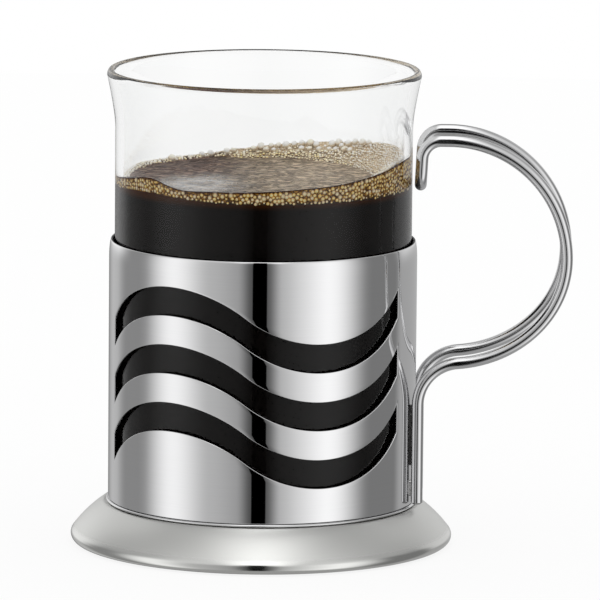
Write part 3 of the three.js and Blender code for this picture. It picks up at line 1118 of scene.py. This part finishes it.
def froth_cells(name, cell, outline, body, middle):
    finish, tree, shader = new_finish(name, Roughness=0.4, Specular_IOR_Level=0.15)
    where = {"Vector": place_on(tree), "Scale": 1 / (cell * MM)}
    from_edge = add(tree, "ShaderNodeTexVoronoi", where, feature="DISTANCE_TO_EDGE").outputs["Distance"]
    from_middle = add(tree, "ShaderNodeTexVoronoi", where).outputs["Distance"]
    filled = tones(tree, ramp(tree, from_edge, outline_end, outline_gone), outline, body)
    # Painted highlight: the middle of each cell is blended to the last, pale colour
    lit = blend(tree, ramp(tree, from_middle, highlight_start, highlight_full), filled, (*middle, 1))
    sunk = ramp(tree, height_on(tree), (froth_foot + froth_fade) * MM, froth_foot * MM)
    wear(
        tree,
        shader,
        Base_Color=blend(tree, sunk, lit, (0.02, 0.008, 0.002, 1)),
        Normal=relief(tree, ramp(tree, from_edge, 0.0, cell_swell), cell_depth, 0.5),
    )
    return finish


# The last colour of each froth is the painted highlight in the middle of its cells
wall_froth = froth_cells("wall_froth", 1.05, (0.06, 0.022, 0.003), (0.42, 0.20, 0.03), (0.90, 0.64, 0.20))
bank_froth = froth_cells("bank_froth", 0.8, (0.66, 0.50, 0.31), (0.90, 0.78, 0.58), (0.98, 0.92, 0.78))
print("dark coffee and two kinds of flat froth")

# %% [markdown]
# The skin is a thin film that the froth leaves behind. It is dark brown on the left, paler towards the
# handle, and torn open in one place, an ellipse with a ragged edge, where the smooth coffee mirrors the
# tent. Noise makes the wrinkles, longer along the picture than across it. Their ridges are milky, and the
# shader's sheen lights them at a flat angle: seen from the front the skin is pale, seen from above it is
# dark.

# %% Finish of the skin
open_middle, open_half = (-16.0, -16.0), (12.5, 17.0)
open_ragged = 1.4
left_start, left_full, left_ragged = 11.0, -5.0, 22.0
pale_start, pale_full = -6.0, 14.0
ridge_half, ridge_depth = 0.17, 0.0008
film_roughness, open_roughness = 0.36, 0.06
film_mirror, open_mirror, brown_loss = 0.07, 0.29, 0.06
brown_sheen = 0.55
open_relief = 0.07

coffee_skin, tree, shader = new_finish(
    "coffee_skin", IOR=1.33, Sheen_Roughness=0.4, Sheen_Tint=(1.0, 0.84, 0.67, 1)
)
wrinkles = grain(tree, 560, (0.55, 0.95, 1), 5, 0.7)
ridges = ramp(tree, calc(tree, "ABSOLUTE", calc(tree, "SUBTRACT", wrinkles, 0.5)), 0.0, ridge_half)
patches = grain(tree, 70, detail=3)
place = add(tree, "ShaderNodeSeparateXYZ", {"Vector": place_on(tree)}).outputs

off_open = 0.0
for axis, middle, half in zip("XY", open_middle, open_half):
    away = calc(tree, "DIVIDE", calc(tree, "SUBTRACT", place[axis], middle * MM), half * MM)
    off_open = calc(tree, "MULTIPLY_ADD", away, away, off_open)
torn = calc(tree, "MULTIPLY_ADD", patches, open_ragged, calc(tree, "SQRT", off_open))
open_coffee = ramp(tree, torn, 2.0, 1.0)
ragged_x = calc(tree, "MULTIPLY_ADD", patches, left_ragged * MM, place["X"])
on_left = ramp(tree, ragged_x, left_start * MM, left_full * MM)
brown_share = calc(tree, "MULTIPLY", on_left, calc(tree, "SUBTRACT", 1.0, open_coffee))

towards_handle = ramp(tree, place["X"], pale_start * MM, pale_full * MM)
hollow_tone = tones(tree, towards_handle, (0.070, 0.046, 0.026), (0.140, 0.098, 0.060))
ridge_tone = tones(tree, towards_handle, (0.29, 0.212, 0.125), (0.62, 0.485, 0.325))
pale_film = blend(tree, ridges, hollow_tone, ridge_tone)
brown_film = tones(tree, ridges, (0.034, 0.014, 0.009), (0.15, 0.064, 0.040))
film = blend(tree, brown_share, pale_film, brown_film)
mirror = cross(tree, open_coffee, film_mirror, open_mirror)
wear(
    tree,
    shader,
    Base_Color=blend(tree, open_coffee, film, (0.02, 0.013, 0.009, 1)),
    Roughness=cross(tree, open_coffee, film_roughness, open_roughness),
    Sheen_Weight=calc(tree, "MULTIPLY", ridges, cross(tree, brown_share, 1.0, brown_sheen)),
    Specular_IOR_Level=calc(tree, "MULTIPLY_ADD", brown_share, -brown_loss, mirror),
    Normal=relief(tree, wrinkles, ridge_depth, cross(tree, open_coffee, 1.0, open_relief)),
)
print("skin of", len(tree.nodes), "nodes")

# %% [markdown]
# The height of the collar follows no rule, so it is a short list of heights given round the wall and
# joined up smoothly. The skin lies level in the middle, with faint ripples, and climbs to the top of the
# collar on a bank along the wall. The solid is a stack of rings: the round heel, the collar, its dark
# edge and the skin.

# %% Heights of the froth and the skin
wall_bite = 0.1
skin_gap = 0.3
skin_rise = 2.5
skin_tilt = 0.3
bank_run = 1.2
bank_least = 1.2
bank_curve = 1.3
ripple_height = 0.16
ripple_edge = 4.0
long_ripple, short_ripple = (0.10, 0.16, 4.0), (0.42, 0.18, 9.0)
long_share = 1.4
froth_heights = {
    -180: 5.3, -155: 3.2, -132: 3.0, -112: 3.3, -84: 2.3, -60: 3.9, -50: 5.3, -44: 4.4, -36: 2.6, -13: 3.0,
    0: 3.2, 21: 4.1, 34: 4.5, 46: 5.6, 54: 6.2, 65: 7.2, 71: 8.1, 88: 8.4, 110: 8.8, 129: 8.1, 146: 7.3,
}
froth_lifts = {-75: 0.1, -60: 0.9, -47: 1.2, -30: 0.5, -18: 0.0}
height_blur = np.linspace(-6.0, 6.0, 5)

coffee_radius = glass_inside + wall_bite
skin_radius = glass_inside - skin_gap


def from_camera(x, y):
    return math.degrees(math.atan2(x, -y))


def froth_top(x, y):
    near = from_camera(x, y) + height_blur
    return froth_foot + np.interp(near, list(froth_heights), list(froth_heights.values()), period=360).mean()


def froth_low(x, y):
    return froth_foot + np.interp(from_camera(x, y), list(froth_lifts), list(froth_lifts.values()))


def calm_z(x):
    return froth_foot + skin_rise + skin_tilt * x / glass_inside


def bank_width(x, y):
    return bank_least + bank_run * max(0.0, froth_top(x, y) - calm_z(x))


def ripple(x, y, shape):
    along, across, seed = shape
    return noise.noise(Vector((along * x, across * y, seed)))


def to_wall(x, y):
    out = glass_inside / max(math.hypot(x, y), 1e-6)
    return x * out, y * out


def skin_z(x, y):
    from_wall = glass_inside - math.hypot(x, y)
    wall_x, wall_y = to_wall(x, y)
    bank = max(0.0, 1 - from_wall / bank_width(wall_x, wall_y))
    waves = long_share * ripple(x, y, long_ripple) + ripple(x, y, short_ripple)
    calmed = ripple_height * waves * min(1.0, from_wall / ripple_edge)
    return calm_z(x) + calmed + (froth_top(wall_x, wall_y) - calm_z(wall_x)) * bank**bank_curve


print(f"skin {skin_z(0, 0) - froth_foot:.1f} mm above the foot of the froth")

# %% Draw the coffee
crest_shade_band = 0.3
skin_rings = 70
skin_sides = 240
band_rows = 5
pale_beyond = 84
film_from, film_to = -165, 50
bed_share = 0.9

# The edge has no finish of its own: in front it is painted with the dark coffee, a painted shade for the gap
# behind the collar's crest, and at the back it is pale froth
coffee_paints = (coffee_dark, wall_froth, bank_froth, coffee_skin)
dark, cells, bed, skin_paint, edge = range(5)
angles = np.linspace(0, 2 * math.pi, skin_sides, endpoint=False)
heel = arc(glass_inside - inner_heel, floor_z + inner_heel, inner_heel + wall_bite, -90, 0, 10)
points = [(0, 0, floor_z - wall_bite)]
rings, ring_paints = [], []


def coffee_ring(radius, height_at, paint):
    rings.append(range(len(points), len(points) + skin_sides))
    ring_paints.append(paint)
    for a in angles:
        x, y = radius * math.cos(a), radius * math.sin(a)
        points.append((x, y, height_at(x, y)))


for radius, z in heel:
    coffee_ring(radius, lambda x, y, z=z: z, dark)
for way in np.linspace(0, 1, band_rows):
    coffee_ring(
        coffee_radius,
        lambda x, y, way=way: froth_low(x, y) + way * (froth_top(x, y) - crest_shade_band - froth_low(x, y)),
        cells if way < 1 else edge,
    )
coffee_ring(coffee_radius, froth_top, edge)
for radius in np.linspace(skin_radius, 0, skin_rings, endpoint=False):
    coffee_ring(radius, skin_z, skin_paint)
points.append((0, 0, skin_z(0, 0)))


def paint_of(paint, x, y):
    angle = from_camera(x, y)
    if paint == cells:
        return cells if abs(angle) < pale_beyond else bed
    # Painted shade: in front, the band at the crest gets the dark coffee
    if paint == edge:
        return dark if abs(angle) < pale_beyond else bed
    if paint == skin_paint:
        on_bank = glass_inside - math.hypot(x, y) < bed_share * bank_width(*to_wall(x, y))
        return bed if on_bank and not film_from < angle < film_to else skin_paint
    return paint


faces = [(0, rings[0][(i + 1) % skin_sides], rings[0][i]) for i in range(skin_sides)]
paints = [dark] * skin_sides
for lower_ring, upper_ring, paint in zip(rings, rings[1:], ring_paints):
    for i in range(skin_sides):
        j = (i + 1) % skin_sides
        faces.append((lower_ring[i], lower_ring[j], upper_ring[j], upper_ring[i]))
        paints.append(paint_of(paint, *points[lower_ring[i]][:2]))
faces += [(rings[-1][i], rings[-1][(i + 1) % skin_sides], len(points) - 1) for i in range(skin_sides)]
paints += [skin_paint] * skin_sides
coffee = drawn("coffee_fill", points, faces, coffee_dark)
for finish in coffee_paints[1:]:
    coffee.data.materials.append(finish)
coffee.data.polygons.foreach_set("material_index", paints)
smooth(coffee, 50)
dress(coffee, "glass")

# %% [markdown]
# ## The bubbles
#
# Froth is thousands of bubbles that repeat with small changes, a job for Geometry Nodes. A guide surface
# says where they may sit: a collar at the glass wall, where they are half sunk in the froth, the bank that
# slopes from its top down to the skin, and a crown of large ones at the back. Points are scattered on it
# with a least distance, so that bubbles crowd without piling up, and each point gets a small ball, turned
# so that its pole looks out of the guide. The guide carries three values for its bubbles: how many, how big
# and how pale they are at that place. The height of a point on its ball is kept as an attribute: the finish
# paints a highlight at the pole and a dark rim where a ball meets its neighbours, partly the liquid between
# bubbles and partly painted shade. A ball has only a few dozen faces, because there are so many of them.
#
# The bubbles have two finishes, each from gold to cream. Both also paint light by the way each point of a
# ball faces: those at the wall, seen through the glass, get painted light on their lower half, those on the
# bank painted light on top.

# %% Finishes of the bubbles
pole_share = 0.75


def bubble_finish(name, light_from_above, first, second):
    finish, tree, shader = new_finish(name, Roughness=0.15, Specular_IOR_Level=0.9)
    dome = add(tree, "ShaderNodeAttribute", attribute_name="dome").outputs["Fac"]
    shade = add(tree, "ShaderNodeAttribute", attribute_name="shade").outputs["Fac"]
    facing = add(tree, "ShaderNodeTexCoord").outputs["Normal"]
    upright = add(tree, "ShaderNodeSeparateXYZ", {"Vector": facing}).outputs["Z"]
    outline, amber, highlight_tone = (tones(tree, shade, *pair) for pair in zip(first, second))
    # Painted light: the pole and one side of each ball get a painted highlight, the upper side for a positive
    # weight, the lower side for a negative weight
    lit = calc(tree, "MULTIPLY_ADD", upright, light_from_above, calc(tree, "MULTIPLY", dome, pole_share))
    ring = blend(tree, ramp(tree, lit, 0.05, 0.40), outline, amber)
    wear(tree, shader, Base_Color=blend(tree, ramp(tree, lit, 0.40, 0.75), ring, highlight_tone))
    return finish


# Each set: a dark rim, partly liquid and partly painted shade, a body colour, and a painted highlight
gold = ((0.06, 0.022, 0.002), (0.84, 0.44, 0.055), (0.99, 0.88, 0.40))
cream = ((0.88, 0.75, 0.55), (0.99, 0.95, 0.86), (0.99, 0.98, 0.95))
gold_bubble = bubble_finish("gold_bubble", -0.35, gold, cream)
cream_bubble = bubble_finish("cream_bubble", 0.45, gold, cream)
print("bubbles at the wall and on the bank")

# %% The tree that froths
ball_sides, ball_rings = 8, 6
most_crowded = 1e7
shade_spread, shade_seed = 0.3, 7

tree, given = new_tree(
    "froth", Spacing="Float", Smallest="Float", Largest="Float", Sunk="Float", Seed="Int", Finish="Material"
)
scattered = add(
    tree,
    "GeometryNodeDistributePointsOnFaces",
    {
        "Mesh": given["Geometry"],
        "Distance Min": given["Spacing"],
        "Density Max": most_crowded,
        "Density Factor": named(tree, "crowd"),
        "Seed": given["Seed"],
    },
    distribute_method="POISSON",
).outputs
ball = add(tree, "GeometryNodeMeshUVSphere", {"Segments": ball_sides, "Rings": ball_rings, "Radius": 1.0})
rounded = add(tree, "GeometryNodeSetShadeSmooth", {"Geometry": ball.outputs[0]}).outputs[0]
on_ball = add(tree, "GeometryNodeInputPosition").outputs[0]
ball_z = add(tree, "ShaderNodeSeparateXYZ", {"Vector": on_ball}).outputs["Z"]
in_sight = calc(tree, "SUBTRACT", 1.0, given["Sunk"])
above = calc(tree, "DIVIDE", calc(tree, "SUBTRACT", ball_z, given["Sunk"]), in_sight)
dome = {"Geometry": rounded, "Name": "dome", "Value": above}
domed = add(tree, "GeometryNodeStoreNamedAttribute", dome, domain="POINT").outputs[0]
sizes = {2: given["Smallest"], 3: given["Largest"], "Seed": given["Seed"]}
any_size = add(tree, "FunctionNodeRandomValue", sizes).outputs[1]
bubbles = add(
    tree,
    "GeometryNodeInstanceOnPoints",
    {
        "Points": scattered["Points"],
        "Instance": domed,
        "Rotation": scattered["Rotation"],
        "Scale": calc(tree, "MULTIPLY", any_size, named(tree, "swell")),
    },
).outputs[0]
spread = {2: -shade_spread, 3: shade_spread, "Seed": shade_seed}
any_shade = add(tree, "FunctionNodeRandomValue", spread).outputs[1]
shade = {"Geometry": bubbles, "Name": "shade", "Value": calc(tree, "ADD", any_shade, named(tree, "pale"))}
shaded = add(tree, "GeometryNodeStoreNamedAttribute", shade, domain="INSTANCE").outputs[0]
close_tree(tree, shaded, given["Finish"])
print("froth tree with", len(tree.nodes), "nodes")

# %% Guides for the froth
guide_sides = 240
guide_rows = 6
collar_sink = 0.3
collar_low_gap, collar_high_gap = 0.3, 0.6
bank_inset, bank_stand = 0.5, -0.1
bank_lap = 0.4
crown_inset, crown_stand = 1.2, 0.1


def guide(name, lower_line, upper_line, crowd, swell, pale):
    points = []
    traits = {"crowd": [], "swell": [], "pale": []}
    for way in np.linspace(0, 1, guide_rows):
        for a in np.linspace(0, 2 * math.pi, guide_sides, endpoint=False):
            low, high = np.array(lower_line(a)), np.array(upper_line(a))
            radius, z = low + way * (high - low)
            points.append((radius * math.cos(a), radius * math.sin(a), z))
            for trait, rule in zip(traits.values(), (crowd, swell, pale)):
                trait.append(rule(a, way))
    surface = drawn(name, points, grid_faces(guide_rows, guide_sides), gold_bubble)
    for trait, values in traits.items():
        surface.data.attributes.new(trait, "FLOAT", "POINT").data.foreach_set("value", values)
    return surface


def on_wall(a):
    return glass_inside * math.cos(a), glass_inside * math.sin(a)


def collar_foot(a):
    return coffee_radius - collar_sink, froth_low(*on_wall(a)) + collar_low_gap


def collar_top(a):
    return coffee_radius - collar_sink, froth_top(*on_wall(a)) - collar_high_gap


def bank_top(a):
    return glass_inside - bank_inset, froth_top(*on_wall(a)) + bank_stand


def bank_foot(a):
    radius = glass_inside - bank_width(*on_wall(a)) - bank_lap
    return radius, skin_z(radius * math.cos(a), radius * math.sin(a)) + bank_stand


def crown_top(a):
    return glass_inside - crown_inset, froth_top(*on_wall(a)) + crown_stand


print(f"guides of {guide_sides} by {guide_rows} points")

# %% Rules for the bubbles
# By degrees round the wall from the camera: how many small ones are on the bank, how big they are, how much
# of their paleness is lost towards the skin, and how many large ones there are
bank_crowd = {-170: 1.0, -84: 1.0, -78: 0.0, 50: 0.0, 60: 1.0}
bank_swell = {-170: 1.0, -140: 1.0, -90: 0.9, -60: 0.8, 60: 0.7, 100: 0.65, 150: 1.0}
bank_fall = {-170: 0.85, -60: 0.6, 60: 0.3, 120: 0.3, 160: 0.7}
crown_crowd = {-172: 1.0, -145: 0.25, -125: 0.0, 118: 0.0, 140: 0.6, 155: 1.0}
edge_row, crown_row = 0.7, 0.5
crown_share = 0.6
bank_pale, bank_shrink = 0.95, 0.25
crown_fall, crown_shrink = 0.3, 0.4
collar_pale, collar_shade_fall = 0.20, 0.15
collar_least, collar_full_row = 0.72, 0.4


def round_wall(values, a):
    return float(np.interp(from_camera(*on_wall(a)), list(values), list(values.values()), period=360))


def even(a, way):
    return 1.0


def collar_size(a, way):
    return collar_least + (1 - collar_least) * min(1.0, way / collar_full_row)


# Collar bubbles darken towards the top of the collar, a painted shade under its edge; at the back they turn
# cream
def collar_tone(a, way):
    return collar_pale - collar_shade_fall * way + (abs(from_camera(*on_wall(a))) > pale_beyond)


def bank_number(a, way):
    if film_from < from_camera(*on_wall(a)) < film_to and way > edge_row:
        return 0.0
    return round_wall(bank_crowd, a) * (1.0 - crown_share * round_wall(crown_crowd, a) * (way < crown_row))


def bank_size(a, way):
    return round_wall(bank_swell, a) * (1.0 - bank_shrink * way)


def bank_tone(a, way):
    return bank_pale - round_wall(bank_fall, a) * way


def crown_number(a, way):
    return round_wall(crown_crowd, a) * (way < crown_row)


def crown_size(a, way):
    return 1.0 - crown_shrink * way


def crown_tone(a, way):
    return bank_pale - crown_fall * way


print(len(bank_crowd) + len(bank_swell) + len(bank_fall) + len(crown_crowd), "values round the wall")

# %% Scatter the froth


def froth(name, lines, rules, finish, spacing, smallest, largest, sunk, seed):
    bubbles = grow(
        guide(f"{name}_guide", *lines, *rules),
        tree,
        name,
        Spacing=spacing * MM,
        Smallest=smallest * MM,
        Largest=largest * MM,
        Sunk=sunk,
        Seed=seed,
        Finish=finish,
    )
    dress(bubbles, "glass")


froth(
    "froth_collar",
    (collar_foot, collar_top),
    (even, collar_size, collar_tone),
    gold_bubble,
    spacing=0.84,
    smallest=0.44,
    largest=0.80,
    sunk=0.5,
    seed=3,
)
froth(
    "froth_bank",
    (bank_top, bank_foot),
    (bank_number, bank_size, bank_tone),
    cream_bubble,
    spacing=0.66,
    smallest=0.30,
    largest=0.55,
    sunk=0.0,
    seed=11,
)
froth(
    "froth_crown",
    (crown_top, bank_foot),
    (crown_number, crown_size, crown_tone),
    cream_bubble,
    spacing=1.9,
    smallest=0.7,
    largest=1.15,
    sunk=0.0,
    seed=5,
)
